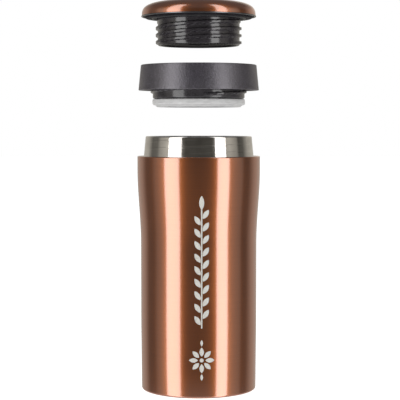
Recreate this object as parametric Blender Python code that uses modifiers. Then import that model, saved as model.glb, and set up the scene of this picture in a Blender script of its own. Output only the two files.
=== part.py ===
"""Vacuum travel mug: a double-wall steel vessel, a screw-in drinking collar and a screw cap, drawn apart.

Lengths are in millimetres and become metres where a mesh is made. +Z is up, and the origin is the centre of
the underside. The collar and the cap are modelled from their own rims and hang from an empty on the screw
axis, which lifts them to where they rest above the vessel.
"""

import math

import bmesh
import bpy
from mathutils import Matrix, Vector

MM = 0.001
SEGMENTS = 36
SMALL_SEGMENTS = 16
ARC_STEPS = 2
GAP = 0.3

# Heights of the collar's lower edge and of the cap's rim, drawn apart
COLLAR_HEIGHT = 183.0
CAP_HEIGHT = 227.4

# Outer wall of the vessel
WALL = 0.6
BASE_RADIUS = 35.0
BODY_RADIUS = 35.4
SHOULDER_RADIUS = 37.5
SHOULDER_HEIGHT = 143.0
BODY_STRAIGHT_FROM = 40.0
FLARE_FROM = 90.0
FLARE_TO = 135.0
FLARE_STEPS = 5
BASE_CORNER = 2.6
HEM_RADIUS = 31.0

# Neck and liner, which are lap and butt welded to each other
NECK_RADIUS = 33.5
LIP_RADIUS = 32.35
LIP_HEIGHT = 155.1
LIP_ROLL = 1.7
LIP_ROLL_EDGE = 2.1
NECK_BOTTOM = 138.5
BORE_RADIUS = 29.8
LINER_NECK_RADIUS = 30.65
LINER_LIP_DROP = 0.2
LEDGE_HEIGHT = 133.7
LEDGE_RADIUS = 27.2
THROAT_TOP = 132.6
THROAT_BOTTOM = 125.0
THROAT_CORNER = 4.0
LINER_RADIUS = 31.0
LINER_WALL = 0.55
LINER_WELD = 117.5
LINER_BOTTOM = 10.9
CUP_CENTRE = 9.8
CUP_SIDE = 8.8
CUP_CORNER = 1.4
FOIL_INNER = 31.85
FOIL_WALL = 0.25
FOIL_BOTTOM = 18.0
FOIL_TOP = 115.0

# Base of the vessel
PLATE_HEIGHT = 3.2
PLATE_RADIUS = 34.0
PLATE_RIM = 3.3
PORT_RADIUS = 1.3
BEAD_RADIUS = 3.0
BEAD_HEIGHT = 0.9
COVER_DISC_BOTTOM = 0.9
COVER_DISC_SHEET = 0.5
GETTER_OFFSET = 14.0
GETTER_RADIUS = 4.0
GETTER_THICKNESS = 1.5
CLIP_WIDTH = 4.0
CLIP_SHEET = 0.4
CLIP_FOOT = 3.0

# Drinking collar, from its lower edge
SKIRT_HEIGHT = 15.4
SKIRT_BOTTOM_RADIUS = 36.75
SKIRT_TOP_RADIUS = 35.2
SKIRT_LIP_RADIUS = 32.6
INSERT_RADIUS = 28.0
INSERT_BORE = 26.6
FLOOR_TOP = 13.8
FLOOR_BOTTOM = 12.5
INSERT_STEP = -5.1
INSERT_TIP_RADIUS = 24.0
INSERT_TIP_BORE = 22.4
INSERT_TIP = -9.3
INSERT_FUNNEL_BOTTOM = -3.6
INSERT_FUNNEL_TOP = -2.4
INSERT_BORE_CHAMFER = 0.5
SEAL_TOP = -5.4
SEAL_RADIUS = 28.2
SEAL_LIP_RADIUS = 25.2
SEAL_STEP_RADIUS = 26.1
SEAL_STEP = -9.3
SEAL_SHOULDER = -8.8
SEAL_BOTTOM = -10.2

# Cap, from its rim
COVER_RADIUS = 34.6
COVER_HEIGHT = 10.0
COVER_WALL = 0.8
COVER_POWER = 3.4
COVER_STEPS = 10
HEM_BEAD_RADIUS = 34.95
HEM_BEAD_HEIGHT = 0.7
FLANGE_BODY_RADIUS = 33.35
FLANGE_RADIUS = 32.3
FLANGE_TOP = 1.5
FLANGE_BOTTOM = -0.95
POCKET_TOP = 0.35
PLUG_RADIUS = 24.9
PLUG_BORE = 23.0
PLUG_BOTTOM = -17.4
PLUG_TOP = 6.9
PLUG_ROOF = 1.6
PLUG_COLLAR_RADIUS = 31.0
PLUG_COLLAR_THICKNESS = 1.5
PLUG_FLOOR_TOP = -15.9
FOAM_RADIUS = 22.6
FOAM_GAP = 0.4
BOND_INNER = 20.5
BOND_OUTER = 24.4
BOND_THICKNESS = 0.35
ORING_RADIUS = 28.0
ORING_SECTION = 0.75
ORING_SIDES = 8

# Two-start right-hand threads, whose ridges are half-round and end by sinking into the wall
LEAD = 8.5
STARTS = 2
HALF_SPACING = LEAD / STARTS / 2
RIDGE_STEPS = 26
RIDGE_TAPER_DEG = 35.0
RIDGE_END = 0.35
RIDGE_SIZE = 0.95
NECK_RIDGE_SIZE = 0.85
COLLAR_THREAD_FIRST = -3.1
PLUG_THREAD_FIRST = -15.45

COPPER = (0.52, 0.22, 0.11)
STEEL = (0.72, 0.72, 0.73)
FOIL_COPPER = (0.80, 0.45, 0.28)
DARK_RUBBER = (0.055, 0.053, 0.060)
DARK_PLASTIC = (0.035, 0.033, 0.038)
BLACK = (0.012, 0.012, 0.014)
SILICONE = (0.72, 0.73, 0.73)
FOAM = (0.85, 0.84, 0.80)
ADHESIVE = (0.75, 0.70, 0.55)
GETTER_GREY = (0.30, 0.30, 0.32)
GLASS_BEAD = (0.25, 0.28, 0.30)


def empty_scene():
    """Removes what the scene holds and returns the collections for the parts and for their cutters."""
    for old in list(bpy.data.objects):
        bpy.data.objects.remove(old, do_unlink=True)
    made = []
    for name in ("travel_mug", "travel_mug_cutters"):
        collection = bpy.data.collections.new(name)
        bpy.context.scene.collection.children.link(collection)
        made.append(collection)
    return made


PARTS, CUTTERS = empty_scene()


def principled(name, colour, roughness, metallic):
    """A material with one Principled shader."""
    material = bpy.data.materials.new(name)
    material.use_nodes = True
    material.diffuse_color = (*colour, 1.0)
    shader = material.node_tree.nodes["Principled BSDF"]
    shader.inputs["Base Color"].default_value = (*colour, 1.0)
    shader.inputs["Roughness"].default_value = roughness
    shader.inputs["Metallic"].default_value = metallic
    return material


def outline(corners):
    """Profile points from corners (radius, height) or (radius, height, fillet), each fillet as an arc."""
    points = []
    for i, corner in enumerate(corners):
        here = Vector(corner[:2])
        if len(corner) == 2:
            points.append(here)
            continue
        fillet = corner[2]
        back = (Vector(corners[i - 1][:2]) - here).normalized()
        ahead = (Vector(corners[(i + 1) % len(corners)][:2]) - here).normalized()
        half = back.angle(ahead) / 2
        centre = here + (back + ahead).normalized() * fillet / math.sin(half)
        start = here + back * fillet / math.tan(half) - centre
        end = here + ahead * fillet / math.tan(half) - centre
        swing = math.copysign(math.pi - 2 * half, start.cross(end))
        for step in range(ARC_STEPS + 1):
            points.append(centre + Matrix.Rotation(swing * step / ARC_STEPS, 2) @ start)
    return points


def evaluated_mesh(thing):
    """The mesh that an object's modifiers or curve settings give, in its own space."""
    bpy.context.view_layer.update()
    graph = bpy.context.evaluated_depsgraph_get()
    return bpy.data.meshes.new_from_object(thing.evaluated_get(graph))


def weld(mesh):
    """Joins a curve's loose caps to its sides and turns all faces outward."""
    welder = bmesh.new()
    welder.from_mesh(mesh)
    bmesh.ops.remove_doubles(welder, verts=welder.verts, dist=1e-6)
    bmesh.ops.recalc_face_normals(welder, faces=welder.faces)
    welder.to_mesh(mesh)
    welder.free()


def shade(mesh):
    """Smooth shading, with edges over 35 degrees kept sharp."""
    mesh.shade_smooth()
    mesh.set_sharp_from_angle(angle=math.radians(35))


def turned(name, corners, material, parent=None, segments=SEGMENTS):
    """A solid of revolution about Z from its profile's corners, closed along the axis where it meets it."""
    points = outline(corners)
    following = points[1:] + points[:1]
    area = sum(a.cross(b) for a, b in zip(points, following))
    if area > 0:
        points.reverse()
    mesh = bpy.data.meshes.new(name)
    count = len(points)
    on_axis = min(p.x for p in points) < 1e-6
    edges = [(i, (i + 1) % count) for i in range(count - on_axis)]
    mesh.from_pydata([(p.x * MM, 0, p.y * MM) for p in points], edges, [])
    solid = bpy.data.objects.new(name, mesh)
    PARTS.objects.link(solid)
    screw = solid.modifiers.new("Turn", "SCREW")
    screw.steps = screw.render_steps = segments
    screw.use_merge_vertices = True
    screw.merge_threshold = 1e-6
    solid.data = evaluated_mesh(solid)
    solid.modifiers.clear()
    solid.data.name = name
    shade(solid.data)
    solid.data.materials.clear()
    solid.data.materials.append(material)
    solid.parent = parent
    return solid


def smooth_step(t):
    """An S-shaped rise from 0 to 1."""
    return t * t * (3 - 2 * t)


def ridge(name, centre, sink, size, first_deg, first_height, turns):
    """A helical half-round ridge as a closed mesh: its ends shrink and move by sink into the wall."""
    curve = bpy.data.curves.new(name, "CURVE")
    curve.dimensions = "3D"
    curve.twist_mode = "Z_UP"
    curve.bevel_depth = size * MM
    curve.bevel_resolution = 1
    curve.use_fill_caps = True
    steps = round(turns * RIDGE_STEPS)
    spline = curve.splines.new("POLY")
    spline.points.add(steps)
    for i, point in enumerate(spline.points):
        swept = 360 * i / RIDGE_STEPS
        from_end = min(swept, 360 * steps / RIDGE_STEPS - swept)
        full = smooth_step(min(1, from_end / RIDGE_TAPER_DEG))
        angle = math.radians(first_deg + swept)
        radius = centre + sink * (1 - full)
        height = first_height + LEAD * swept / 360
        across = Vector((math.cos(angle), math.sin(angle))) * radius * MM
        point.co = (across.x, across.y, height * MM, 1)
        point.radius = RIDGE_END + (1 - RIDGE_END) * full
    tube = bpy.data.objects.new(name + "_route", curve)
    CUTTERS.objects.link(tube)
    mesh = evaluated_mesh(tube)
    bpy.data.objects.remove(tube, do_unlink=True)
    weld(mesh)
    shade(mesh)
    return mesh


def add_thread(solid, name, centre, sink, size, first_deg, first_height, turns):
    """Joins the ridges of a two-start thread to a turned solid."""
    mesh = ridge(name, centre, sink, size, first_deg, first_height, turns)
    mesh.materials.append(solid.data.materials[0])
    for start in range(STARTS):
        tool = bpy.data.objects.new(f"{name}_{start + 1}", mesh)
        CUTTERS.objects.link(tool)
        tool.parent = solid.parent
        tool.rotation_euler.z = 2 * math.pi * start / STARTS
        tool.hide_render = True
        tool.display_type = "WIRE"
        join = solid.modifiers.new(f"{name}_{start + 1}", "BOOLEAN")
        join.operation = "UNION"
        join.object = tool


def shell_radius(height):
    """Radius of the outer wall, which flares smoothly from the body to the shoulder."""
    if height < BODY_STRAIGHT_FROM:
        return BASE_RADIUS + (BODY_RADIUS - BASE_RADIUS) * height / BODY_STRAIGHT_FROM
    t = min(1, max(0, (height - FLARE_FROM) / (FLARE_TO - FLARE_FROM)))
    return BODY_RADIUS + (SHOULDER_RADIUS - BODY_RADIUS) * smooth_step(t)


def shell_side(inset):
    """Side of the outer wall from the top of its flare down to the body, inset by a distance."""
    flare = [FLARE_TO - (FLARE_TO - FLARE_FROM) * i / FLARE_STEPS for i in range(FLARE_STEPS + 1)]
    return [(shell_radius(z) - inset, z) for z in flare + [BODY_STRAIGHT_FROM]]


def vessel():
    """The copper outer wall, the polished neck and the liner inside them."""
    copper = principled("copper_lacquer", COPPER, 0.32, 1.0)
    hole = NECK_RADIUS + GAP
    under_shoulder = SHOULDER_HEIGHT - WALL
    turned(
        "outer_shell",
        [(hole, SHOULDER_HEIGHT), (SHOULDER_RADIUS, SHOULDER_HEIGHT, 0.8)]
        + shell_side(0)
        + [
            (BASE_RADIUS, 0, BASE_CORNER),
            (HEM_RADIUS, 0),
            (HEM_RADIUS, WALL),
            (BASE_RADIUS - WALL, WALL, BASE_CORNER - WALL),
        ]
        + shell_side(WALL)[::-1]
        + [(SHOULDER_RADIUS - WALL, under_shoulder), (hole, under_shoulder)],
        copper,
    )
    bead_inner = LINER_NECK_RADIUS + GAP
    turned(
        "neck_sleeve",
        [
            (bead_inner, LIP_HEIGHT, 0.5),
            (LIP_RADIUS, LIP_HEIGHT, 0.8),
            (NECK_RADIUS, SHOULDER_HEIGHT),
            (NECK_RADIUS, NECK_BOTTOM),
            (NECK_RADIUS - WALL, NECK_BOTTOM),
            (NECK_RADIUS - WALL, SHOULDER_HEIGHT),
            (LIP_RADIUS - WALL, LIP_HEIGHT - LIP_ROLL),
            (bead_inner, LIP_HEIGHT - LIP_ROLL_EDGE),
        ],
        principled("polished_steel", STEEL, 0.08, 1.0),
    )
    liner()


def liner():
    """The inner wall of the vessel in three pressings: threaded neck, straight wall and dished bottom."""
    steel = principled("liner_steel", STEEL, 0.25, 1.0)
    outer = LINER_RADIUS + LINER_WALL
    top = LIP_HEIGHT - LINER_LIP_DROP
    throat_outside = LEDGE_RADIUS + WALL
    neck = turned(
        "liner_neck",
        [
            (BORE_RADIUS, top, 0.25),
            (LINER_NECK_RADIUS, top, 0.25),
            (LINER_NECK_RADIUS, LEDGE_HEIGHT - WALL),
            (throat_outside, LEDGE_HEIGHT - WALL),
            (throat_outside, THROAT_TOP),
            (outer, THROAT_BOTTOM, THROAT_CORNER),
            (outer, LINER_WELD + GAP),
            (LINER_RADIUS, LINER_WELD + GAP),
            (LINER_RADIUS, THROAT_BOTTOM - WALL, THROAT_CORNER),
            (LEDGE_RADIUS, THROAT_TOP),
            (LEDGE_RADIUS, LEDGE_HEIGHT, 0.3),
            (BORE_RADIUS, LEDGE_HEIGHT, 0.5),
        ],
        steel,
    )
    crest_centre = BORE_RADIUS - 0.15
    first = 250
    height = neck_thread_height(first)
    add_thread(neck, "neck_thread", crest_centre, 0.55, NECK_RIDGE_SIZE, first, height, 1.09)
    turned(
        "inner_liner",
        [
            (LINER_RADIUS, LINER_WELD),
            (outer, LINER_WELD),
            (outer, LINER_BOTTOM),
            (LINER_RADIUS, LINER_BOTTOM),
        ],
        steel,
    )
    cup_edge = LINER_BOTTOM - GAP
    turned(
        "liner_base",
        [
            (0, CUP_CENTRE),
            (LINER_RADIUS, CUP_SIDE, CUP_CORNER),
            (LINER_RADIUS, cup_edge),
            (outer, cup_edge),
            (outer, CUP_SIDE - WALL, CUP_CORNER + 0.5),
            (0, CUP_CENTRE - WALL),
        ],
        principled("base_steel", STEEL, 0.30, 1.0),
    )
    foil_outer = FOIL_INNER + FOIL_WALL
    turned(
        "radiation_foil",
        [
            (FOIL_INNER, FOIL_TOP),
            (foil_outer, FOIL_TOP),
            (foil_outer, FOIL_BOTTOM),
            (FOIL_INNER, FOIL_BOTTOM),
        ],
        principled("foil", FOIL_COPPER, 0.25, 1.0),
    )


def collar_thread_height(angle_deg):
    """Height of the collar's outer ridge above the collar's lower edge, at an angle about Z."""
    return COLLAR_THREAD_FIRST + LEAD * (angle_deg - 270) / 360


def neck_thread_height(angle_deg):
    """Height of the neck's ridge, half a spacing off the collar's ridge on the same screw line."""
    above = COLLAR_HEIGHT + collar_thread_height(angle_deg) + HALF_SPACING
    spacing = LEAD / STARTS
    return above - spacing * round((above - SHOULDER_HEIGHT) / spacing)


def cap_thread_height(angle_deg):
    """Height of the plug's ridge from the cap's rim."""
    return PLUG_THREAD_FIRST + LEAD * angle_deg / 360


def collar_bore_thread_height(angle_deg):
    """Height of the collar's inner ridge, half a spacing off the plug's ridge."""
    above = CAP_HEIGHT - COLLAR_HEIGHT + cap_thread_height(angle_deg) + HALF_SPACING
    spacing = LEAD / STARTS
    return above - spacing * round(above / spacing)


def base():
    """The closed bottom of the vessel, with the port that the gap was emptied through."""
    steel = principled("plate_steel", STEEL, 0.35, 1.0)
    plate_top = PLATE_HEIGHT + WALL
    turned(
        "base_plate",
        [
            (PORT_RADIUS, plate_top),
            (PLATE_RADIUS - WALL, plate_top, 1.2),
            (PLATE_RADIUS - WALL, PLATE_HEIGHT + PLATE_RIM),
            (PLATE_RADIUS, PLATE_HEIGHT + PLATE_RIM),
            (PLATE_RADIUS, PLATE_HEIGHT, 1.8),
            (PORT_RADIUS, PLATE_HEIGHT),
        ],
        steel,
    )
    stem_radius = PORT_RADIUS - GAP
    bead_top = PLATE_HEIGHT - GAP
    turned(
        "vacuum_port_bead",
        [
            (0, plate_top),
            (stem_radius, plate_top),
            (stem_radius, bead_top),
            (BEAD_RADIUS, bead_top),
            (0.8 * BEAD_RADIUS, bead_top - 0.66 * BEAD_HEIGHT),
            (0, bead_top - BEAD_HEIGHT),
        ],
        principled("port_bead", GLASS_BEAD, 0.15, 0.0),
        segments=SMALL_SEGMENTS,
    )
    seat = plate_top + GAP
    bpy.ops.mesh.primitive_cylinder_add(
        vertices=32,
        radius=GETTER_RADIUS * MM,
        depth=GETTER_THICKNESS * MM,
        location=(GETTER_OFFSET * MM, 0, (seat + GETTER_THICKNESS / 2) * MM),
    )
    pellet = bpy.context.active_object
    pellet.name = "getter_pellet"
    shade(pellet.data)
    pellet.data.materials.append(principled("getter", GETTER_GREY, 0.8, 0.4))
    for collection in list(pellet.users_collection):
        collection.objects.unlink(pellet)
    PARTS.objects.link(pellet)
    getter_clip(seat)
    disc_radius = HEM_RADIUS - GAP
    disc_bore = disc_radius - COVER_DISC_SHEET
    disc_top = COVER_DISC_BOTTOM + COVER_DISC_SHEET
    turned(
        "base_cover",
        [
            (0, disc_top),
            (disc_bore, disc_top),
            (disc_bore, bead_top),
            (disc_radius, bead_top),
            (disc_radius, COVER_DISC_BOTTOM, 0.4),
            (0, COVER_DISC_BOTTOM),
        ],
        principled("cover_steel", STEEL, 0.30, 1.0),
    )


def getter_clip(seat):
    """A bent strip that bridges the getter: its outline lies in XZ and is as thick as the strip is wide."""
    inside = GETTER_RADIUS + 2 * GAP
    under = seat + GETTER_THICKNESS + GAP
    foot = inside + CLIP_SHEET + CLIP_FOOT
    right = [
        (inside, under),
        (inside, seat),
        (foot, seat),
        (foot, seat + CLIP_SHEET),
        (inside + CLIP_SHEET, seat + CLIP_SHEET),
        (inside + CLIP_SHEET, under + CLIP_SHEET),
    ]
    points = right + [(-x, z) for x, z in reversed(right)]
    curve = bpy.data.curves.new("getter_clip", "CURVE")
    curve.dimensions = "2D"
    curve.fill_mode = "BOTH"
    curve.extrude = CLIP_WIDTH / 2 * MM
    spline = curve.splines.new("POLY")
    spline.points.add(len(points) - 1)
    spline.use_cyclic_u = True
    for point, (x, z) in zip(spline.points, points):
        point.co = (x * MM, z * MM, 0, 1)
    strip = bpy.data.objects.new("getter_clip_outline", curve)
    CUTTERS.objects.link(strip)
    mesh = evaluated_mesh(strip)
    bpy.data.objects.remove(strip, do_unlink=True)
    weld(mesh)
    mesh.materials.append(principled("clip_steel", STEEL, 0.3, 1.0))
    clip = bpy.data.objects.new("getter_clip", mesh)
    clip.location.x = GETTER_OFFSET * MM
    clip.rotation_euler.x = math.pi / 2
    PARTS.objects.link(clip)


def axis_empty(name, height):
    """An empty on the screw axis, which carries the pieces that turn and rise together."""
    empty = bpy.data.objects.new(name, None)
    empty.location.z = height * MM
    PARTS.objects.link(empty)
    return empty


def collar():
    """The drinking collar: soft skirt, threaded insert and silicone seal."""
    axis = axis_empty("collar_axis", COLLAR_HEIGHT)
    turned(
        "collar_skirt",
        [
            (SKIRT_LIP_RADIUS, SKIRT_HEIGHT, 0.6),
            (SKIRT_TOP_RADIUS, SKIRT_HEIGHT, 0.7),
            (SKIRT_BOTTOM_RADIUS, 0, 0.35),
            (NECK_RADIUS + 0.45, 0, 0.2),
            (NECK_RADIUS, FLOOR_TOP + GAP),
            (SKIRT_LIP_RADIUS, FLOOR_TOP + GAP),
        ],
        principled("soft_touch_rubber", DARK_RUBBER, 0.7, 0.0),
        axis,
    )
    insert = turned(
        "collar_insert",
        [
            (INSERT_BORE + INSERT_BORE_CHAMFER, FLOOR_TOP),
            (NECK_RADIUS - GAP, FLOOR_TOP),
            (NECK_RADIUS - GAP, FLOOR_BOTTOM),
            (INSERT_RADIUS, FLOOR_BOTTOM, 0.5),
            (INSERT_RADIUS, INSERT_STEP, 0.9),
            (INSERT_TIP_RADIUS, INSERT_STEP),
            (INSERT_TIP_RADIUS, INSERT_TIP),
            (INSERT_TIP_BORE, INSERT_TIP),
            (INSERT_TIP_BORE, INSERT_FUNNEL_BOTTOM),
            (INSERT_BORE, INSERT_FUNNEL_TOP),
            (INSERT_BORE, FLOOR_TOP - INSERT_BORE_CHAMFER),
        ],
        principled("glossy_insert", DARK_PLASTIC, 0.22, 0.0),
        axis,
    )
    outer_centre = INSERT_RADIUS + 0.35
    first = 270
    height = collar_thread_height(first)
    add_thread(insert, "collar_outer_thread", outer_centre, -0.95, RIDGE_SIZE, first, height, 1.2)
    bore_centre = INSERT_BORE - 0.15
    first = -45
    height = collar_bore_thread_height(first)
    add_thread(insert, "collar_bore_thread", bore_centre, 0.9, RIDGE_SIZE, first, height, 1.1)
    seal_bore = INSERT_TIP_RADIUS + GAP
    turned(
        "collar_seal",
        [
            (seal_bore, SEAL_TOP),
            (SEAL_RADIUS, SEAL_TOP, 0.5),
            (SEAL_RADIUS, SEAL_SHOULDER, 0.5),
            (SEAL_STEP_RADIUS, SEAL_STEP),
            (SEAL_LIP_RADIUS, SEAL_BOTTOM, 0.3),
            (seal_bore, SEAL_BOTTOM),
        ],
        principled("silicone", SILICONE, 0.45, 0.0),
        axis,
    )


def dome(radius, height):
    """Quarter of a squared-off ellipse from the axis at the top down to the rim."""
    points = []
    for i in range(COVER_STEPS + 1):
        angle = math.pi / 2 * (1 - i / COVER_STEPS)
        across = max(0, math.cos(angle)) ** (2 / COVER_POWER)
        up = max(0, math.sin(angle)) ** (2 / COVER_POWER)
        points.append((0 if i == 0 else radius * across, height * up))
    return points


def cap():
    """The cap: metal cover, flange, hollow threaded plug with its floor and foam, and the seal ring."""
    axis = axis_empty("cap_axis", CAP_HEIGHT)
    bead = [
        (COVER_RADIUS, HEM_BEAD_HEIGHT + 0.2),
        (HEM_BEAD_RADIUS, HEM_BEAD_HEIGHT, 0.1),
        (HEM_BEAD_RADIUS, 0, 0.15),
    ]
    turned(
        "cap_cover",
        dome(COVER_RADIUS, COVER_HEIGHT)[:-1]
        + bead
        + dome(COVER_RADIUS - COVER_WALL, COVER_HEIGHT - COVER_WALL)[::-1],
        principled("cap_copper", COPPER, 0.28, 1.0),
        axis,
    )
    pocket_inner = ORING_RADIUS - ORING_SECTION - GAP
    pocket_outer = ORING_RADIUS + ORING_SECTION + GAP
    flange_bore = PLUG_RADIUS + 0.4
    turned(
        "cap_flange",
        [
            (flange_bore, FLANGE_TOP),
            (FLANGE_BODY_RADIUS, FLANGE_TOP),
            (FLANGE_BODY_RADIUS, GAP),
            (FLANGE_RADIUS, GAP),
            (FLANGE_RADIUS, FLANGE_BOTTOM, 0.3),
            (pocket_outer, FLANGE_BOTTOM),
            (pocket_outer, POCKET_TOP),
            (pocket_inner, POCKET_TOP),
            (pocket_inner, FLANGE_BOTTOM),
            (flange_bore, FLANGE_BOTTOM),
        ],
        principled("black_flange", BLACK, 0.2, 0.0),
        axis,
    )
    ring_centre = POCKET_TOP - GAP - ORING_SECTION
    circle = [2 * math.pi * i / ORING_SIDES for i in range(ORING_SIDES)]
    turned(
        "cap_seal",
        [
            (ORING_RADIUS + ORING_SECTION * math.cos(a), ring_centre + ORING_SECTION * math.sin(a))
            for a in circle
        ],
        principled("seal_rubber", BLACK, 0.6, 0.0),
        axis,
    )
    collar_bottom = FLANGE_TOP + GAP
    collar_top = collar_bottom + PLUG_COLLAR_THICKNESS
    plug = turned(
        "cap_plug",
        [
            (0, PLUG_TOP),
            (PLUG_RADIUS, PLUG_TOP, 0.6),
            (PLUG_RADIUS, collar_top),
            (PLUG_COLLAR_RADIUS, collar_top),
            (PLUG_COLLAR_RADIUS, collar_bottom),
            (PLUG_RADIUS, collar_bottom),
            (PLUG_RADIUS, PLUG_BOTTOM, 0.7),
            (PLUG_BORE, PLUG_BOTTOM),
            (PLUG_BORE, PLUG_TOP - PLUG_ROOF),
            (0, PLUG_TOP - PLUG_ROOF),
        ],
        principled("glossy_plug", DARK_PLASTIC, 0.18, 0.0),
        axis,
    )
    crest_centre = PLUG_RADIUS + 0.25
    first = -32
    add_thread(plug, "plug_thread", crest_centre, -0.9, RIDGE_SIZE, first, cap_thread_height(first), 1.62)
    floor_radius = PLUG_BORE - GAP
    floor_bottom = PLUG_BOTTOM + GAP
    turned(
        "plug_floor",
        [
            (0, PLUG_FLOOR_TOP),
            (floor_radius, PLUG_FLOOR_TOP),
            (floor_radius, floor_bottom),
            (0, floor_bottom),
        ],
        principled("floor_plastic", DARK_PLASTIC, 0.3, 0.0),
        axis,
    )
    foam_top = PLUG_TOP - PLUG_ROOF - FOAM_GAP
    foam_bottom = PLUG_FLOOR_TOP + FOAM_GAP
    turned(
        "plug_foam",
        [(0, foam_top), (FOAM_RADIUS, foam_top), (FOAM_RADIUS, foam_bottom), (0, foam_bottom)],
        principled("foam", FOAM, 0.9, 0.0),
        axis,
    )
    bond_bottom = PLUG_TOP + GAP
    bond_top = bond_bottom + BOND_THICKNESS
    turned(
        "cap_bond",
        [
            (BOND_INNER, bond_top),
            (BOND_OUTER, bond_top),
            (BOND_OUTER, bond_bottom),
            (BOND_INNER, bond_bottom),
        ],
        principled("adhesive", ADHESIVE, 0.5, 0.0),
        axis,
    )


vessel()
base()
collar()
cap()
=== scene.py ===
"""Looks of a vacuum travel mug drawn apart: copper vessel, dark drinking collar and copper-covered screw cap.

Heights and radii are in millimetres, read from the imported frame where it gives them, and become metres
where a mesh is made. Each turned piece is a profile spun about the screw axis. Threads are swellings of
the spun surface along a helix, so ridges and walls are one smooth skin.
"""

import math

import bmesh
import bpy
from mathutils import Matrix, Vector


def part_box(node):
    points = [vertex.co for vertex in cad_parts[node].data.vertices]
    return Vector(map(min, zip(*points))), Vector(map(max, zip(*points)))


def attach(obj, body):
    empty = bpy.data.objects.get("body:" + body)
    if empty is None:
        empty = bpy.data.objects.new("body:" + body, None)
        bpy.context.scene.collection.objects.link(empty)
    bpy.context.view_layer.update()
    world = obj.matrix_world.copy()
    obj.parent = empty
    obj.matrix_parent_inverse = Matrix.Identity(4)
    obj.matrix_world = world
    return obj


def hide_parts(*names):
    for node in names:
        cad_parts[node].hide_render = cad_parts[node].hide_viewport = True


MM = 0.001
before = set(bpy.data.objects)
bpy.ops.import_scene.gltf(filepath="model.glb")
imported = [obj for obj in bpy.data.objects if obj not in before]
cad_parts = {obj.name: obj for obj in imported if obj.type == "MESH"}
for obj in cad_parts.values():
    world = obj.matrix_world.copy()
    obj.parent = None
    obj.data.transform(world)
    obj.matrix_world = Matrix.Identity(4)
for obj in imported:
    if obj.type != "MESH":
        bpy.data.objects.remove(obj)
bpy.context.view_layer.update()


def low(node):
    """Height of a node's lowest point in millimetres."""
    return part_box(node)[0].z / MM


def high(node):
    """Height of a node's highest point in millimetres."""
    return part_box(node)[1].z / MM


def widest(node):
    """Largest radius of a node about the screw axis in millimetres."""
    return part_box(node)[1].x / MM


# Heights that the pieces are built on
SHOULDER = high("outer_shell")
LIP = high("neck_sleeve")
COLLAR = low("collar_skirt")
CAP = low("cap_cover")
LEDGE = 133.7
WELD_TOP = 138.5
SKIRT_HEIGHT = high("collar_skirt") - COLLAR
PLUG_BOTTOM = low("cap_plug") - CAP
SEAL_BOTTOM = low("collar_seal") - COLLAR

# Radii and walls
SHOULDER_RADIUS = widest("outer_shell")
BODY_RADIUS = 35.4
BASE_RADIUS = 35.0
NECK_RADIUS = widest("neck_sleeve")
LIP_RADIUS = 32.35
BORE_RADIUS = 29.8
LINER_RADIUS = 31.0
LEDGE_RADIUS = 27.2
WALL = 0.6
LINER_WALL = 0.55
FLARE_FROM, FLARE_TO = 90.0, 135.0
STRAIGHT_FROM = 40.0

# Drinking collar, whose insert runs through the skirt
SKIRT_RADIUS = widest("collar_skirt")
LIP_EDGE_RADIUS = 35.2
INSERT_RADIUS = 28.0
INSERT_BORE = 26.6
SEAL_RADIUS = widest("collar_seal")

# Cap: squareness of its dome, its sheet, and the plug under it
DOME_POWER = 3.4
COVER_SHEET = 0.8
HEM_HEIGHT = 0.75
HEM_STEP = 0.35
PLUG_RADIUS = 24.9
PLUG_BORE = 23.0
SEAL_RING_RADIUS = 28.0
SEAL_RING_THICKNESS = 0.75

# Etched ornament, by its place round the wall and its heights
SPRIG_SIDE = 1.8
SPRIG_BOTTOM, SPRIG_TOP = 42.0, 120.5
LEAF_PAIRS = 9
ROSETTE_HEIGHT = 23.0
PETALS = 8

# Two-start right-hand threads
LEAD = 8.5
STARTS = 2
TAPER_DEG = 32.0
INNER_RIDGE = 0.98
PLUG_RIDGE = 1.25

# Fineness of the meshes
SEGMENTS = 180
FINE_SEGMENTS = 216
ARC_STEPS = 6
THREAD_ROW = 0.24
SHARP_DEG = 38

# Softboxes: where they split into a bright lower part and a dimmer upper part
BOX_BOTTOM, BOX_SPLIT, BOX_TOP = -1.1, 0.33, 2.4

# Camera, in millimetres; the view height is measured at the screw axis
CAMERA_DISTANCE = 830.0
EYE_HEIGHT = 161.7
VIEW_HEIGHT = 244.8
AIM_HEIGHT = 116.0
AIM_SIDE = 0.8


# ---------------------------------------------------------------- meshes


def outline(corners):
    """Profile points from corners (radius, height) or (radius, height, fillet), each fillet as an arc."""
    points = []
    for i, corner in enumerate(corners):
        here = Vector(corner[:2])
        if len(corner) == 2:
            points.append(here)
            continue
        fillet = corner[2]
        back = (Vector(corners[i - 1][:2]) - here).normalized()
        ahead = (Vector(corners[(i + 1) % len(corners)][:2]) - here).normalized()
        half = back.angle(ahead) / 2
        centre = here + (back + ahead).normalized() * fillet / math.sin(half)
        start = here + back * fillet / math.tan(half) - centre
        end = here + ahead * fillet / math.tan(half) - centre
        swing = math.copysign(math.pi - 2 * half, start.cross(end))
        for step in range(ARC_STEPS + 1):
            points.append(centre + Matrix.Rotation(swing * step / ARC_STEPS, 2) @ start)
    return points


def finer(points, bottom, top, step=THREAD_ROW):
    """The profile with its steep stretches between two heights cut into rows fine enough for a thread."""
    out = []
    for a, b in zip(points, points[1:] + points[:1]):
        out.append(a)
        steep = abs(b.y - a.y) > 2 * abs(b.x - a.x)
        inside = min(a.y, b.y) < top and max(a.y, b.y) > bottom
        rows = int(abs(b.y - a.y) / step)
        if steep and inside and rows > 1:
            out += [a.lerp(b, k / rows) for k in range(1, rows)]
    return out


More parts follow.
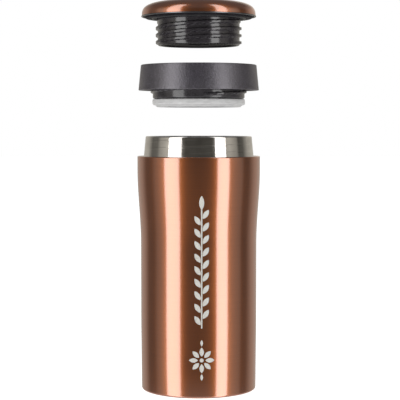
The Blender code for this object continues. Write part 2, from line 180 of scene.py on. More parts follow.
def helix(first_deg, first_height, turns, width, rise):
    """How far a thread's ridges lift the surface at an angle and a height; negative rise cuts inward."""

    def lift(angle_deg, height):
        best = 0.0
        for start in range(STARTS):
            swept = (angle_deg - first_deg - 360 * start / STARTS) % 360
            while swept < 360 * turns:
                off = abs(height - first_height - LEAD * swept / 360)
                if off < width:
                    shape = smooth(min(1, (width - off) / (0.5 * width)))
                    ends = min(swept, 360 * turns - swept)
                    best = max(best, shape * smooth(min(1, ends / TAPER_DEG)))
                swept += 360
        return rise * best

    return lift


def smooth(t):
    """An S-shaped rise from 0 to 1."""
    return t * t * (3 - 2 * t)


def spin(name, points, lifts=(), segments=SEGMENTS):
    """A closed mesh from a profile in radius and height.

    lifts holds (lift, facing, bottom, top) for each thread: it acts between two heights, on walls that face
    outward when facing is 1 and on walls that face the axis when facing is -1.
    """
    area = sum(a.cross(b) for a, b in zip(points, points[1:] + points[:1]))
    if area > 0:
        points = points[::-1]
    on_axis = min(p.x for p in points) < 1e-6
    count = len(points)
    facing = []
    for i in range(count):
        run = points[(i + 1) % count].y - points[i - 1].y
        facing.append(1 if run < -1e-4 else -1 if run > 1e-4 else 0)
    verts, rings = [], []
    for p, side in zip(points, facing):
        if p.x < 1e-6:
            rings.append([len(verts)] * segments)
            verts.append((0, 0, p.y * MM))
            continue
        rings.append(list(range(len(verts), len(verts) + segments)))
        for k in range(segments):
            turn = 360 * k / segments
            radius = p.x
            for lift, side_wanted, bottom, top in lifts:
                if side == side_wanted and bottom < p.y < top:
                    radius += lift(turn, p.y)
            angle = math.radians(turn)
            verts.append((radius * MM * math.cos(angle), radius * MM * math.sin(angle), p.y * MM))
    faces = []
    for i in range(count - on_axis):
        upper, lower = rings[i], rings[(i + 1) % count]
        for k in range(segments):
            n = (k + 1) % segments
            corners = [upper[k], lower[k], lower[n], upper[n]]
            face = list(dict.fromkeys(corners))
            if len(face) > 2:
                faces.append(face)
    mesh = bpy.data.meshes.new(name)
    mesh.from_pydata(verts, [], faces)
    return mesh


def finish_mesh(mesh):
    """Outward normals and smooth shading that keeps hard edges."""
    shaper = bmesh.new()
    shaper.from_mesh(mesh)
    bmesh.ops.recalc_face_normals(shaper, faces=shaper.faces)
    shaper.to_mesh(mesh)
    shaper.free()
    mesh.shade_smooth()
    mesh.set_sharp_from_angle(angle=math.radians(SHARP_DEG))


def piece(name, mesh, material, body, slot, *nodes):
    """Puts a mesh in the scene on a body, standing for CAD nodes if any are named."""
    finish_mesh(mesh)
    thing = bpy.data.objects.new(name, mesh)
    bpy.context.scene.collection.objects.link(thing)
    mesh.materials.append(material)
    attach(thing, body)
    if nodes:
        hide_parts(*nodes)
    return thing


def raised(points, height):
    """Corners moved up by a height."""
    return [(c[0], c[1] + height, *c[2:]) for c in points]


# ---------------------------------------------------------------- materials


class Look:
    """A material around one Principled shader, with short calls for its texture nodes."""

    def __init__(self, name, colour, roughness, metallic=0.0, **sockets):
        self.material = bpy.data.materials.new(name)
        self.material.use_nodes = True
        self.tree = self.material.node_tree
        self.shader = self.tree.nodes["Principled BSDF"]
        self.material.diffuse_color = (*colour, 1)
        self.shader.inputs["Base Color"].default_value = (*colour, 1)
        self.shader.inputs["Roughness"].default_value = roughness
        self.shader.inputs["Metallic"].default_value = metallic
        for socket, value in sockets.items():
            self.shader.inputs[socket.replace("_", " ")].default_value = value
        self.place = self.tree.nodes.new("ShaderNodeTexCoord").outputs["Object"]
        self.normal = None

    def noise(self, stretch, detail=3.0, roughness=0.55, distortion=0.0):
        """Noise whose cells are 1 / stretch metres along X, Y and Z."""
        scale = self.tree.nodes.new("ShaderNodeMapping")
        scale.inputs["Scale"].default_value = stretch
        self.tree.links.new(self.place, scale.inputs["Vector"])
        node = self.tree.nodes.new("ShaderNodeTexNoise")
        node.inputs["Scale"].default_value = 1.0
        node.inputs["Detail"].default_value = detail
        node.inputs["Roughness"].default_value = roughness
        node.inputs["Distortion"].default_value = distortion
        self.tree.links.new(scale.outputs["Vector"], node.inputs["Vector"])
        return node.outputs["Fac"]

    def between(self, value, start, end, low_value, high_value):
        """A value mapped from start..end to low..high and clamped."""
        node = self.tree.nodes.new("ShaderNodeMapRange")
        for socket, number in (
            ("From Min", start),
            ("From Max", end),
            ("To Min", low_value),
            ("To Max", high_value),
        ):
            node.inputs[socket].default_value = number
        self.tree.links.new(value, node.inputs["Value"])
        return node.outputs["Result"]

    def combine(self, operation, first, second):
        """Arithmetic on two values, of which the second may be a number."""
        node = self.tree.nodes.new("ShaderNodeMath")
        node.operation = operation
        self.tree.links.new(first, node.inputs[0])
        if isinstance(second, (int, float)):
            node.inputs[1].default_value = second
        else:
            self.tree.links.new(second, node.inputs[1])
        return node.outputs["Value"]

    def colours(self, value, stops):
        """A colour ramp as the base colour; stops are (position, colour)."""
        ramp = self.tree.nodes.new("ShaderNodeValToRGB")
        elements = ramp.color_ramp.elements
        while len(elements) < len(stops):
            elements.new(0.5)
        for element, (position, colour) in zip(elements, stops):
            element.position = position
            element.color = (*colour, 1)
        self.tree.links.new(value, ramp.inputs["Fac"])
        self.tree.links.new(ramp.outputs["Color"], self.shader.inputs["Base Color"])

    def rough(self, value, start, end, low_value, high_value):
        """Roughness driven by a texture."""
        mapped = self.between(value, start, end, low_value, high_value)
        self.tree.links.new(mapped, self.shader.inputs["Roughness"])

    def bump(self, value, distance_mm, strength=1.0):
        """Adds relief, on top of any relief added before."""
        node = self.tree.nodes.new("ShaderNodeBump")
        node.inputs["Distance"].default_value = distance_mm * MM
        node.inputs["Strength"].default_value = strength
        self.tree.links.new(value, node.inputs["Height"])
        if self.normal:
            self.tree.links.new(self.normal, node.inputs["Normal"])
        self.normal = node.outputs["Normal"]
        self.tree.links.new(self.normal, self.shader.inputs["Normal"])

    def lathe_grain(self, amount, turn=0.25):
        """Stretches highlights across the circumferential scratches of a turned finish."""
        tangent = self.tree.nodes.new("ShaderNodeTangent")
        tangent.direction_type = "RADIAL"
        tangent.axis = "Z"
        self.tree.links.new(tangent.outputs["Tangent"], self.shader.inputs["Tangent"])
        self.shader.inputs["Anisotropic"].default_value = amount
        self.shader.inputs["Anisotropic Rotation"].default_value = turn


def copper_look(name):
    """Copper-tinted lacquer on steel that was brushed round and round before it was coated."""
    look = Look(name, (0.58, 0.134, 0.008), 0.31, 1.0, Coat_Weight=1.0, Coat_Roughness=0.125, Coat_IOR=2.9)
    scratches = look.noise((90, 90, 9000), detail=4, roughness=0.6)
    streaks = look.noise((14, 14, 1400), detail=2)
    cloud = look.noise((32, 32, 14), detail=3, distortion=0.4)
    look.colours(
        look.combine("ADD", look.combine("MULTIPLY", cloud, 0.7), look.combine("MULTIPLY", streaks, 0.3)),
        [(0.32, (0.55, 0.123, 0.006)), (0.5, (0.58, 0.134, 0.008)), (0.7, (0.62, 0.148, 0.011))],
    )
    look.rough(look.combine("ADD", cloud, look.combine("MULTIPLY", scratches, 0.6)), 0.5, 1.1, 0.28, 0.35)
    look.bump(scratches, 0.0025, 0.4)
    look.bump(streaks, 0.008, 0.15)
    look.lathe_grain(0.5)
    return look.material


def polished_look():
    """Bare steel polished to a mirror, with faint haze and handling marks."""
    look = Look("polished_steel_look", (0.80, 0.77, 0.74), 0.06, 1.0)
    haze = look.noise((120, 120, 160), detail=4)
    wave = look.noise((260, 260, 420), detail=2, distortion=0.6)
    look.colours(haze, [(0.3, (0.74, 0.71, 0.68)), (0.65, (0.86, 0.83, 0.80))])
    look.rough(haze, 0.35, 0.7, 0.04, 0.13)
    look.bump(wave, 0.03, 0.35)
    return look.material


def brushed_look(name, colour, roughness):
    """Steel with fine circumferential brushing."""
    look = Look(name, colour, roughness, 1.0)
    scratches = look.noise((60, 60, 7000), detail=4)
    cloud = look.noise((50, 50, 40), detail=3)
    dark = tuple(0.88 * c for c in colour)
    look.colours(cloud, [(0.3, dark), (0.7, colour)])
    look.rough(scratches, 0.3, 0.7, roughness - 0.06, roughness + 0.1)
    look.bump(scratches, 0.006, 0.5)
    look.lathe_grain(0.5)
    return look.material


def pressed_look():
    """Satin pressed steel of the underside, scuffed where the mug stands and slides."""
    look = Look("pressed_steel_look", (0.66, 0.66, 0.65), 0.34, 1.0)
    scuffs = look.noise((900, 140, 900), detail=5, roughness=0.65, distortion=0.8)
    cloud = look.noise((70, 70, 70), detail=3)
    look.colours(cloud, [(0.3, (0.55, 0.55, 0.54)), (0.7, (0.70, 0.70, 0.69))])
    look.rough(look.combine("ADD", cloud, scuffs), 0.8, 1.3, 0.26, 0.48)
    look.bump(scuffs, 0.01, 0.4)
    return look.material


def soft_touch_look():
    """Matte rubber skin with a fine pebble grain; the pale flecks in its colour are partly its own speckle
    and partly painted glints off the grain.
    """
    look = Look("soft_touch_look", (0.020, 0.018, 0.023), 0.36, Specular_IOR_Level=1.0, IOR=1.83)
    look.shader.inputs["Specular Tint"].default_value = (0.97, 0.93, 1.0, 1)
    grain = look.noise((2400, 2400, 2400), detail=1, roughness=0.7)
    pebble = look.noise((1100, 1100, 1100), detail=1)
    dust = look.noise((45, 45, 60), detail=4)
    # Painted glints: the palest stop gives flecks that stand partly for sparkle of light off the grain,
    # partly for the skin's own speckle.
    look.colours(
        grain,
        [(0.36, (0.006, 0.005, 0.007)), (0.52, (0.014, 0.012, 0.017)), (0.66, (0.075, 0.068, 0.088))],
    )
    look.rough(look.combine("ADD", grain, dust), 0.7, 1.3, 0.28, 0.44)
    look.bump(pebble, 0.15, 0.75)
    look.bump(grain, 0.08, 0.7)
    return look.material


def moulded_look(name, colour, roughness, ior=1.5, specular=0.95):
    """Moulded plastic with a slight waviness and fine handling scratches."""
    look = Look(name, colour, roughness, Specular_IOR_Level=specular, IOR=ior)
    wave = look.noise((160, 160, 220), detail=2)
    fine = look.noise((2400, 300, 2400), detail=4, distortion=1.2)
    pale = tuple(1.5 * c + 0.004 for c in colour)
    look.colours(wave, [(0.35, colour), (0.75, pale)])
    look.rough(fine, 0.35, 0.75, roughness, roughness + 0.12)
    look.bump(wave, 0.03, 0.3)
    return look.material


def silicone_look():
    """Milky translucent silicone with dust in its surface."""
    look = Look(
        "silicone_look",
        (0.56, 0.56, 0.56),
        0.42,
        Subsurface_Weight=0.45,
        Subsurface_Scale=0.002,
        Subsurface_Radius=(1, 1, 1),
        Transmission_Weight=0.12,
        Specular_IOR_Level=0.55,
    )
    cloud = look.noise((220, 220, 500), detail=3)
    grain = look.noise((2600, 2600, 2600), detail=2)
    look.colours(cloud, [(0.3, (0.50, 0.50, 0.50)), (0.7, (0.60, 0.60, 0.60))])
    look.rough(grain, 0.3, 0.7, 0.34, 0.5)
    look.bump(grain, 0.02, 0.35)
    return look.material


def seal_rubber_look():
    """Black seal rubber with a slight bloom."""
    look = Look("seal_rubber_look", (0.012, 0.012, 0.013), 0.42, Specular_IOR_Level=0.5)
    bloom = look.noise((500, 500, 500), detail=3)
    look.colours(bloom, [(0.35, (0.010, 0.010, 0.011)), (0.75, (0.030, 0.030, 0.031))])
    look.rough(bloom, 0.3, 0.7, 0.34, 0.55)
    look.bump(bloom, 0.01, 0.3)
    return look.material


def print_look():
    """Pale laser-etched silver, slightly grainy."""
    look = Look("etched_silver_look", (0.64, 0.63, 0.58), 0.5, 0.25)
    grain = look.noise((1800, 1800, 1800), detail=3)
    look.colours(grain, [(0.3, (0.56, 0.55, 0.50)), (0.7, (0.70, 0.69, 0.645))])
    look.rough(grain, 0.3, 0.7, 0.42, 0.6)
    look.bump(grain, 0.01, 0.3)
    return look.material


def foil_look():
    """Crinkled copper foil."""
    look = Look("foil_look", (0.78, 0.42, 0.26), 0.2, 1.0)
    crinkle = look.noise((350, 350, 350), detail=5, distortion=1.5)
    look.colours(crinkle, [(0.3, (0.68, 0.35, 0.20)), (0.7, (0.84, 0.48, 0.31))])
    look.rough(crinkle, 0.3, 0.7, 0.14, 0.3)
    look.bump(crinkle, 0.3, 0.7)
    return look.material


def grainy_look(name, dark, pale, cells, roughness, relief_mm):
    """Granular matter such as foam beads, getter powder, glass frit or glue."""
    look = Look(name, pale, roughness)
    grain = look.noise((cells, cells, cells), detail=3)
    look.colours(grain, [(0.35, dark), (0.65, pale)])
    look.rough(grain, 0.3, 0.7, roughness - 0.08, roughness + 0.08)
    look.bump(grain, relief_mm, 0.6)
    return look.material


# ---------------------------------------------------------------- vessel


def shell_radius(height):
    """Radius of the outer wall, which flares smoothly from the body to the shoulder."""
    if height < STRAIGHT_FROM:
        return BASE_RADIUS + (BODY_RADIUS - BASE_RADIUS) * height / STRAIGHT_FROM
    t = min(1, max(0, (height - FLARE_FROM) / (FLARE_TO - FLARE_FROM)))
    return BODY_RADIUS + (SHOULDER_RADIUS - BODY_RADIUS) * smooth(t)


def shell_side(inset, rows=24):
    """Side of the outer wall from the top of its flare down to the body, inset by a distance."""
    flare = [FLARE_TO - (FLARE_TO - FLARE_FROM) * i / rows for i in range(rows + 1)]
    return [(shell_radius(z) - inset, z) for z in flare + [65, STRAIGHT_FROM, 20]]


def neck_lift():
    """The neck's ridges, which sit half a spacing off the collar's ridges on the same screw line."""
    return helix(250, 143.34, 1.09, 1.0, -1.0)


def vessel(copper):
    """The copper wall, the mirror neck with its rolled lip, and the brushed liner with its threads."""
    edge = NECK_RADIUS + 0.08
    wall = outline(
        [(edge, SHOULDER - 0.25), (edge + 0.35, SHOULDER), (SHOULDER_RADIUS, SHOULDER, 0.7)]
        + shell_side(0)
        + [
            (BASE_RADIUS, 0, 1.4),
            (31.0, 0, 0.15),
            (31.0, WALL, 0.15),
            (BASE_RADIUS - WALL, WALL, 0.9),
        ]
        + shell_side(WALL)[::-1]
        + [(SHOULDER_RADIUS - WALL, SHOULDER - WALL, 0.3), (edge, SHOULDER - WALL)]
    )
    piece("vessel_wall", spin("vessel_wall", wall, segments=FINE_SEGMENTS), copper, "vessel",
          "copper_lacquer", "outer_shell")

    sleeve = outline(
        [
            (30.95, LIP, 0.55),
            (LIP_RADIUS, LIP, 0.75),
            (NECK_RADIUS, SHOULDER),
            (NECK_RADIUS, WELD_TOP),
            (NECK_RADIUS - WALL, WELD_TOP),
            (NECK_RADIUS - WALL, SHOULDER),
            (LIP_RADIUS - WALL, LIP - 1.7),
            (30.95, LIP - 2.1),
        ]
    )
    grooves = (helix(250, 144.4, 1.1, 0.5, -0.03), 1, SHOULDER + 0.4, LIP - 0.9)
    mesh = spin("neck_ring", finer(sleeve, SHOULDER, LIP, 0.12), [grooves], FINE_SEGMENTS)
    piece("neck_ring", mesh, polished_look(), "vessel", "polished_steel", "neck_sleeve")

    weld = low("liner_neck")
    outside = LINER_RADIUS + LINER_WALL
    throat = outline(
        [
            (BORE_RADIUS, LIP - 0.2, 0.3),
            (30.65, LIP - 0.2, 0.2),
            (30.65, LEDGE - WALL),
            (LEDGE_RADIUS + WALL, LEDGE - WALL),
            (LEDGE_RADIUS + WALL, LEDGE - 1.1),
            (outside, LEDGE - 8.7, 5.0),
            (outside, weld),
            (LINER_RADIUS, weld),
            (LINER_RADIUS, LEDGE - 9.3, 5.0),
            (LEDGE_RADIUS, LEDGE - 1.1, 0.5),
            (LEDGE_RADIUS, LEDGE, 0.4),
            (BORE_RADIUS, LEDGE, 0.8),
        ]
    )
    threads = (neck_lift(), -1, LEDGE + 4, LIP - 1)
    mesh = spin("liner_throat", finer(throat, LEDGE + 4, LIP - 1), [threads], FINE_SEGMENTS)
    steel = brushed_look("liner_steel_look", (0.70, 0.70, 0.69), 0.24)
    piece("liner_throat", mesh, steel, "vessel", "liner_steel", "liner_neck")

    top, bottom = high("inner_liner"), low("inner_liner")
    tube = outline([(LINER_RADIUS, top, 0.1), (outside, top, 0.1), (outside, bottom), (LINER_RADIUS, bottom)])
    piece("liner_wall", spin("liner_wall", tube), steel, "vessel", "liner_steel", "inner_liner")

    dish = outline(
        [
            (0, 9.8),
            (9.0, 9.8, 3.0),
            (10.5, 9.2, 3.0),
            (LINER_RADIUS, 8.8, 1.5),
            (LINER_RADIUS, 10.6),
            (outside, 10.6),
            (outside, 8.2, 2.0),
            (0, 8.2),
        ]
    )
    piece("liner_floor", spin("liner_floor", dish), steel, "vessel", "base_steel", "liner_base")


def underside(steel):
    """The pressed cover that hides the vacuum port, with two stamped rings."""
    inner = 0.5
    profile = outline(
        [
            (0, 1.5),
            (30.2, 1.5),
            (30.2, 2.9),
            (30.7, 2.9),
            (30.7, 0.9, 0.5),
            (27.4, 0.9, 0.4),
            (26.6, 0.9 + inner, 0.4),
            (25.4, 0.9 + inner, 0.4),
            (24.6, 0.9, 0.4),
            (9.6, 0.9, 0.6),
            (8.6, 1.25, 0.6),
            (0, 1.25),
        ]
    )
    profile = [Vector((p.x, max(p.y, 0.85))) for p in profile]
    top = outline([(0, 1.75), (29.9, 1.75)])
    profile[0] = top[0]
    profile[1] = Vector((30.2, 1.75))
    piece("base_disc", spin("base_disc", profile), steel, "vessel", "base_steel", "base_cover")


def conform(name, shapes, depth=0.05, sink=0.03, cell=0.8):
    """Thin plates laid on the wall. shapes are convex outlines of (distance round the wall, height) in mm."""
    sheet = bmesh.new()
    for shape in shapes:
        sheet.faces.new([sheet.verts.new((s, h, 0)) for s, h in shape])
    for axis in range(2):
        values = [v.co[axis] for v in sheet.verts]
        spot = min(values)
        width = cell if axis == 0 else 3 * cell
        while spot < max(values):
            spot += width
            plane = Vector((0, 0, 0))
            plane[axis] = spot
            normal = Vector((0, 0, 0))
            normal[axis] = 1
            everything = sheet.verts[:] + sheet.edges[:] + sheet.faces[:]
            bmesh.ops.bisect_plane(sheet, geom=everything, plane_co=plane, plane_no=normal, dist=1e-5)
    grown = bmesh.ops.extrude_face_region(sheet, geom=sheet.faces[:])["geom"]
    for part in grown:
        if isinstance(part, bmesh.types.BMVert):
            part.co.z = depth
    for vert in sheet.verts:
        s, h, d = vert.co
        radius = shell_radius(h) - sink + d
        angle = s / shell_radius(h)
        vert.co = Vector((radius * math.sin(angle), -radius * math.cos(angle), h)) * MM
    mesh = bpy.data.meshes.new(name)
    sheet.to_mesh(mesh)
    sheet.free()
    return mesh


def leaf(centre, length, width, lean_deg, steps=9):
    """A pointed leaf outline that starts at a point and leans from the vertical."""
    lean = math.radians(lean_deg)
    along = Vector((math.sin(lean), math.cos(lean)))
    across = Vector((along.y, -along.x))
    edge = []
    for i in range(steps + 1):
        t = i / steps
        edge.append((t * length, width / 2 * math.sin(math.pi * t) ** 0.8))
    ring = edge + [(t, -w) for t, w in edge[-2:0:-1]]
    return [tuple(Vector(centre) + along * t + across * w) for t, w in ring]


def sprig(look):
    """A generic etched ornament in place of a printed mark: a stem with leaves above a small rosette."""
    middle, bottom, top = SPRIG_SIDE, SPRIG_BOTTOM, SPRIG_TOP
    left, right = middle - 0.4, middle + 0.4
    shapes = [[(left, bottom), (right, bottom), (right, top - 7), (left, top - 7)]]
    spacing = (top - bottom - 12) / LEAF_PAIRS
    for i in range(LEAF_PAIRS):
        foot = bottom + 2 + spacing * i
        for side in (-1, 1):
            shapes.append(leaf((middle + side * 0.7, foot + (side > 0) * spacing / 2), 6.4, 2.9, side * 33))
    shapes.append(leaf((middle, top - 8.5), 8.5, 3.0, 0))
    rosette = Vector((middle, ROSETTE_HEIGHT))
    for i in range(PETALS):
        lean = 360 * i / PETALS
        out = Vector((math.sin(math.radians(lean)), math.cos(math.radians(lean))))
        shapes.append(leaf(tuple(rosette + out * 2.2), 5.4, 2.7, lean))
    hub = [math.radians(30 * i) for i in range(12)]
    shapes.append([(rosette.x + 1.2 * math.cos(a), rosette.y + 1.2 * math.sin(a)) for a in hub])
    for side in (-1, 1):
        shapes.append(leaf((rosette.x, rosette.y + side * 8.3), 3.8, 1.6, 0 if side > 0 else 180))
    piece("etched_sprig", conform("etched_sprig", shapes), look, "vessel", "copper_lacquer")


# ---------------------------------------------------------------- collar


def collar(gloss):
    """Matte skirt with a rounded drinking lip, glossy threaded insert, and the silicone seal."""
    skirt = outline(
        raised(
            [
                (32.6, SKIRT_HEIGHT, 0.7),
                (LIP_EDGE_RADIUS, SKIRT_HEIGHT, 0.55),
                (SKIRT_RADIUS, 0, 0.3),
                (33.95, 0, 0.3),
                (33.5, 14.1),
                (32.6, 14.1),
            ],
            COLLAR,
        )
    )
    mesh = spin("skirt", finer(skirt, COLLAR, COLLAR + 15, 1.5), segments=FINE_SEGMENTS)
    piece("skirt", mesh, soft_touch_look(), "collar", "soft_skirt", "collar_skirt")

    insert = outline(
        raised(
            [
                (27.1, 13.8, 0.3),
                (33.2, 13.8),
                (33.2, 12.5),
                (INSERT_RADIUS, 12.5, 0.6),
                (INSERT_RADIUS, -5.1, 1.0),
                (24.0, -5.1),
                (24.0, -9.3),
                (22.4, -9.3, 0.4),
                (22.4, -3.6, 0.5),
                (INSERT_BORE, -2.4, 0.4),
                (INSERT_BORE, 13.3, 0.3),
            ],
            COLLAR,
        )
    )
    outside = (helix(270, COLLAR - 3.1, 1.2, INNER_RIDGE, 1.3), 1, COLLAR - 4.9, COLLAR + 12)
    inside = (helix(-45, COLLAR + 0.2625, 1.1, INNER_RIDGE, -1.1), -1, COLLAR - 2, COLLAR + 13)
    rows = finer(insert, COLLAR - 5, COLLAR + 12.6)
    piece("insert", spin("insert", rows, [outside, inside], FINE_SEGMENTS), gloss, "collar",
          "glossy_insert", "collar_insert")

    seal = outline(
        raised(
            [
                (24.3, -5.4),
                (SEAL_RADIUS, -5.4, 0.7),
                (SEAL_RADIUS, -8.8, 0.9),
                (26.5, -9.2, 0.3),
                (25.4, SEAL_BOTTOM, 0.4),
                (24.3, SEAL_BOTTOM, 0.2),
            ],
            COLLAR,
        )
    )
    piece("seal", spin("seal", seal), silicone_look(), "collar_slider", "silicone_seal", "collar_seal")


# ---------------------------------------------------------------- cap


def dome(radius, height, base, steps=40):
    """Quarter of a squared-off ellipse from the axis at the top down to the rim."""
    points = []
    for i in range(steps + 1):
        angle = math.pi / 2 * (1 - i / steps)
        across = max(0, math.cos(angle)) ** (2 / DOME_POWER)
        up = max(0, math.sin(angle)) ** (2 / DOME_POWER)
        points.append(Vector((0 if i == 0 else radius * across, base + height * up)))
    return points


def cap(copper, gloss, bare):
    """Domed copper cover with a bare hem (its steel darkened as painted shade), black flange, seal ring,
    threaded plug and its closed end.
    """
    height = high("cap_cover") - CAP
    bead = widest("cap_cover")
    radius = bead - HEM_STEP
    inner = radius - COVER_SHEET
    rim = CAP + HEM_HEIGHT
    shell = [p for p in dome(radius, height, CAP) if p.y > rim] + [Vector((radius, rim))]
    shell += [Vector((inner, rim))]
    shell += [p for p in dome(inner, height - COVER_SHEET, CAP)[::-1] if p.y > rim]
    piece("cover", spin("cover", shell, segments=FINE_SEGMENTS), copper, "cap", "cap_copper", "cap_cover")

    hem = outline(
        raised([(inner, HEM_HEIGHT), (bead, HEM_HEIGHT, 0.3), (bead, 0, 0.3), (inner, 0, 0.2)], CAP)
    )
    # The hem is bare steel given a dark grey colour: painted shade standing for the dim line under the rim.
    piece("cover_hem", spin("cover_hem", hem), bare, "cap", "polished_steel")

    flange = outline(
        raised(
            [
                (25.3, 1.5),
                (widest("cap_flange"), 1.5),
                (widest("cap_flange"), 0.3, 0.2),
                (32.3, 0.3, 0.1),
                (32.3, -0.95, 0.4),
                (29.05, -0.95, 0.15),
                (29.05, 0.35),
                (26.95, 0.35),
                (26.95, -0.95, 0.15),
                (25.3, -0.95, 0.2),
            ],
            CAP,
        )
    )
    black = moulded_look("black_satin_look", (0.010, 0.009, 0.011), 0.5, specular=0.06)
    piece("flange", spin("flange", flange), black, "cap", "black_flange", "cap_flange")

    circle = [math.radians(15 * i) for i in range(24)]
    ring = [
        Vector((SEAL_RING_RADIUS, CAP - 0.7)) + SEAL_RING_THICKNESS * Vector((math.cos(a), math.sin(a)))
        for a in circle
    ]
    piece("seal_ring", spin("seal_ring", ring), seal_rubber_look(), "cap_slider", "seal_ring", "cap_seal")

    plug = outline(
        raised(
            [
                (0, 6.9),
                (PLUG_RADIUS, 6.9, 0.6),
                (PLUG_RADIUS, 3.3, 0.3),
                (31.0, 3.3, 0.3),
                (31.0, 1.8, 0.3),
                (PLUG_RADIUS, 1.8),
                (PLUG_RADIUS, PLUG_BOTTOM, 0.9),
                (PLUG_BORE, PLUG_BOTTOM, 0.3),
                (PLUG_BORE, 5.3),
                (0, 5.3),
            ],
            CAP,
        )
    )
    ridges = (helix(-32, CAP - 16.2, 1.62, PLUG_RIDGE, PLUG_RIDGE), 1, CAP - 17.3, CAP)
    rows = finer(plug, CAP + PLUG_BOTTOM, CAP + 1.8)
    piece("plug", spin("plug", rows, [ridges], FINE_SEGMENTS), gloss, "cap", "glossy_plug", "cap_plug")

    end = outline(
        raised(
            [
                (0, -15.9),
                (22.7, -15.9),
                (22.7, -17.1, 0.2),
                (20.9, -17.1, 0.2),
                (20.3, -16.6, 0.2),
                (6.4, -16.6, 0.3),
                (5.9, -16.95, 0.2),
                (2.2, -16.95, 0.2),
                (1.7, -16.7, 0.2),
                (0, -16.7),
            ],
            CAP,
        )
    )
    piece("plug_end", spin("plug_end", end), black, "cap", "glossy_plug", "plug_floor")


def hidden_nodes(steel):
    """Finishes for the CAD nodes inside the walls, which keep their CAD shape."""
    looks = {
        "radiation_foil": foil_look(),
        "base_plate": steel,
        "getter_clip": steel,
        "vacuum_port_bead": grainy_look("frit_look", (0.05, 0.07, 0.08), (0.14, 0.17, 0.18), 900, 0.2, 0.01),
        "getter_pellet": grainy_look("getter_look", (0.07, 0.07, 0.075), (0.16, 0.16, 0.17), 3000, 0.8, 0.05),
        "plug_foam": grainy_look("foam_look", (0.62, 0.61, 0.57), (0.82, 0.81, 0.77), 500, 0.85, 0.3),
        "cap_bond": grainy_look("glue_look", (0.45, 0.38, 0.24), (0.60, 0.53, 0.37), 400, 0.4, 0.05),
    }
    for name, material in looks.items():
        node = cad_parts[name]
        node.data.materials.clear()
        node.data.materials.append(material)


# ---------------------------------------------------------------- studio


def softbox(name, azimuth_deg, width_deg, radiance, bottom, top, distance=1.1):
    """A tall area light that faces the mug from an azimuth, measured from the camera's side."""
    azimuth = math.radians(azimuth_deg)
    data = bpy.data.lights.new(name, "AREA")
    data.shape = "RECTANGLE"
    data.size = 2 * distance * math.tan(math.radians(width_deg / 2))
    data.size_y = top - bottom
    data.energy = radiance * math.pi * data.size * data.size_y
    lamp = bpy.data.objects.new(name, data)
    bpy.context.scene.collection.objects.link(lamp)
    lamp.location = (distance * math.sin(azimuth), -distance * math.cos(azimuth), (bottom + top) / 2)
    level = Vector((-lamp.location.x, -lamp.location.y, 0))
    lamp.rotation_euler = level.to_track_quat("-Z", "Y").to_euler()
    lamp.visible_camera = False


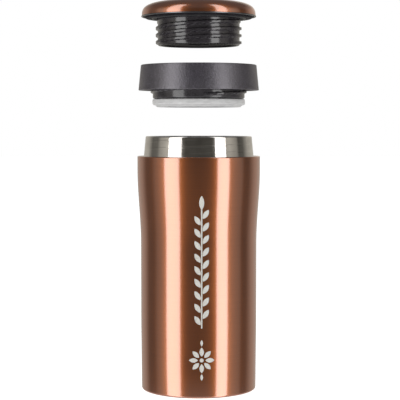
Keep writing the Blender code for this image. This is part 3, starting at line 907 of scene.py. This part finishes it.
def studio_world():
    """A studio whose walls differ in brightness by azimuth from the camera's side, and white to the eye.

    walls lists (azimuth, grey at the mug's own level, grey above it) for the left and for the right side.
    """
    left = [(0, 0.075, 0.05), (28, 0.09, 0.06), (72, 0.32, 0.50), (90, 0.22, 0.34), (98, 0.11, 0.16),
            (116, 0.11, 0.14), (132, 0.36, 0.36), (180, 0.50, 0.55)]
    right = [(0, 0.075, 0.05), (28, 0.09, 0.06), (68, 0.30, 0.46), (88, 0.24, 0.26), (94, 0.10, 0.06),
             (108, 0.10, 0.08), (128, 0.36, 0.40), (180, 0.52, 0.80)]
    world = bpy.data.worlds.new("studio")
    world.use_nodes = True
    bpy.context.scene.world = world
    tree = world.node_tree
    nodes, links = tree.nodes, tree.links
    nodes.clear()
    direction = nodes.new("ShaderNodeTexCoord").outputs["Generated"]
    split = nodes.new("ShaderNodeSeparateXYZ")
    links.new(direction, split.inputs["Vector"])

    def arithmetic(operation, first, second=None):
        node = nodes.new("ShaderNodeMath")
        node.operation = operation
        for socket, value in zip(node.inputs, (first, second)):
            if isinstance(value, (int, float)):
                socket.default_value = value
            elif value is not None:
                links.new(value, socket)
        return node.outputs["Value"]

    def mapped(value, start, end, low_value, high_value):
        node = nodes.new("ShaderNodeMapRange")
        for socket, number in zip(node.inputs[1:5], (start, end, low_value, high_value)):
            socket.default_value = number
        links.new(value, node.inputs["Value"])
        return node.outputs["Result"]

    def mix(factor, first, second):
        node = nodes.new("ShaderNodeMix")
        node.data_type = "RGBA"
        links.new(factor, node.inputs[0])
        for socket, value in zip((node.inputs[6], node.inputs[7]), (first, second)):
            if isinstance(value, tuple):
                socket.default_value = value
            else:
                links.new(value, socket)
        return node.outputs[2]

    def ramp(value, stops):
        node = nodes.new("ShaderNodeValToRGB")
        elements = node.color_ramp.elements
        while len(elements) < len(stops):
            elements.new(0.5)
        for element, (position, grey) in zip(elements, stops):
            element.position = position
            element.color = (grey * 1.05, grey, grey * 0.89, 1)
        links.new(value, node.inputs["Fac"])
        return node.outputs["Color"]

    azimuth = arithmetic("ARCTAN2", split.outputs["X"], arithmetic("MULTIPLY", split.outputs["Y"], -1.0))
    turn = arithmetic("MULTIPLY", arithmetic("ABSOLUTE", azimuth), 1 / math.pi)
    raise_up = mapped(split.outputs["Z"], 0.06, 0.16, 0, 1)
    sides = []
    for walls in (left, right):
        level = ramp(turn, [(a / 180, grey) for a, grey, _ in walls])
        above = ramp(turn, [(a / 180, grey) for a, _, grey in walls])
        sides.append(mix(raise_up, level, above))
    on_right = arithmetic("GREATER_THAN", split.outputs["X"], 0.0)
    walls = mix(on_right, *sides)
    ceiling = mapped(split.outputs["Z"], 0.22, 0.55, 0, 1)
    ground = mapped(split.outputs["Z"], -0.25, -0.7, 0, 1)
    room = mix(ground, mix(ceiling, walls, (0.12, 0.12, 0.12, 1)), (0.6, 0.6, 0.6, 1))
    behind = mapped(arithmetic("ABSOLUTE", split.outputs["X"]), 0.05, 0.22, 0.8, 0)
    behind = arithmetic("MULTIPLY", behind, arithmetic("GREATER_THAN", split.outputs["Y"], 0.0))
    under = arithmetic("MULTIPLY", mapped(split.outputs["Z"], -0.03, -0.045, 0, 1),
                       mapped(split.outputs["Z"], -0.16, -0.13, 0, 1))
    room = mix(arithmetic("MULTIPLY", behind, under), room, (0.05, 0.05, 0.05, 1))
    studio = nodes.new("ShaderNodeBackground")
    links.new(room, studio.inputs["Color"])
    plain = nodes.new("ShaderNodeBackground")
    plain.inputs["Color"].default_value = (1, 1, 1, 1)
    path = nodes.new("ShaderNodeLightPath")
    pick = nodes.new("ShaderNodeMixShader")
    links.new(path.outputs["Is Camera Ray"], pick.inputs["Fac"])
    links.new(studio.outputs["Background"], pick.inputs[1])
    links.new(plain.outputs["Background"], pick.inputs[2])
    out = nodes.new("ShaderNodeOutputWorld")
    links.new(pick.outputs["Shader"], out.inputs["Surface"])


def floor():
    """A plain pale floor that takes the mug's soft shadow."""
    bpy.ops.mesh.primitive_plane_add(size=12, location=(0, 0, -0.0002))
    plane = bpy.context.active_object
    plane.name = "floor"
    look = Look("pale_floor", (0.9, 0.9, 0.9), 0.7, Emission_Color=(1, 1, 1, 1), Emission_Strength=1.0)
    speck = look.noise((4, 4, 4), detail=2)
    look.colours(speck, [(0.3, (0.88, 0.88, 0.88)), (0.7, (0.92, 0.92, 0.92))])
    plane.data.materials.append(look.material)
    plane.visible_glossy = False
    plane.visible_shadow = False


def camera():
    """The camera at the level of the mug's shoulder, looking slightly down."""
    data = bpy.data.cameras.new("camera")
    data.sensor_width = 36.0
    data.lens = 36.0 * CAMERA_DISTANCE / VIEW_HEIGHT
    eye = bpy.data.objects.new("camera", data)
    bpy.context.scene.collection.objects.link(eye)
    eye.location = Vector((AIM_SIDE, -CAMERA_DISTANCE, EYE_HEIGHT)) * MM
    aim = Vector((AIM_SIDE, 0, AIM_HEIGHT)) * MM
    eye.rotation_euler = (aim - eye.location).to_track_quat("-Z", "Y").to_euler()
    bpy.context.scene.camera = eye


def main():
    body_copper = copper_look("copper_lacquer_look")
    cap_copper = copper_look("cap_copper_look")
    steel = pressed_look()
    gloss = moulded_look("plug_plastic_look", (0.015, 0.013, 0.016), 0.10, 1.58)
    vessel(body_copper)
    underside(steel)
    sprig(print_look())
    collar(moulded_look("insert_plastic_look", (0.022, 0.020, 0.023), 0.10))
    # The hem steel's dark grey is painted shade: bare steel darkened so the rim under the cover reads dim.
    cap(cap_copper, gloss, brushed_look("hem_steel_painted_shade_look", (0.22, 0.22, 0.23), 0.26))
    hidden_nodes(steel)
    floor()
    for side, azimuth, width, radiance, above in (
        ("left", -51.0, 29.5, 1.95, 1.35),
        ("right", 46.6, 23.5, 2.05, 1.40),
    ):
        softbox(f"{side}_softbox", azimuth, width, radiance, BOX_BOTTOM, BOX_SPLIT)
        softbox(f"{side}_softbox_top", azimuth, width, above, BOX_SPLIT, BOX_TOP)
    studio_world()
    camera()
    bpy.context.scene.view_settings.view_transform = "Standard"


main()
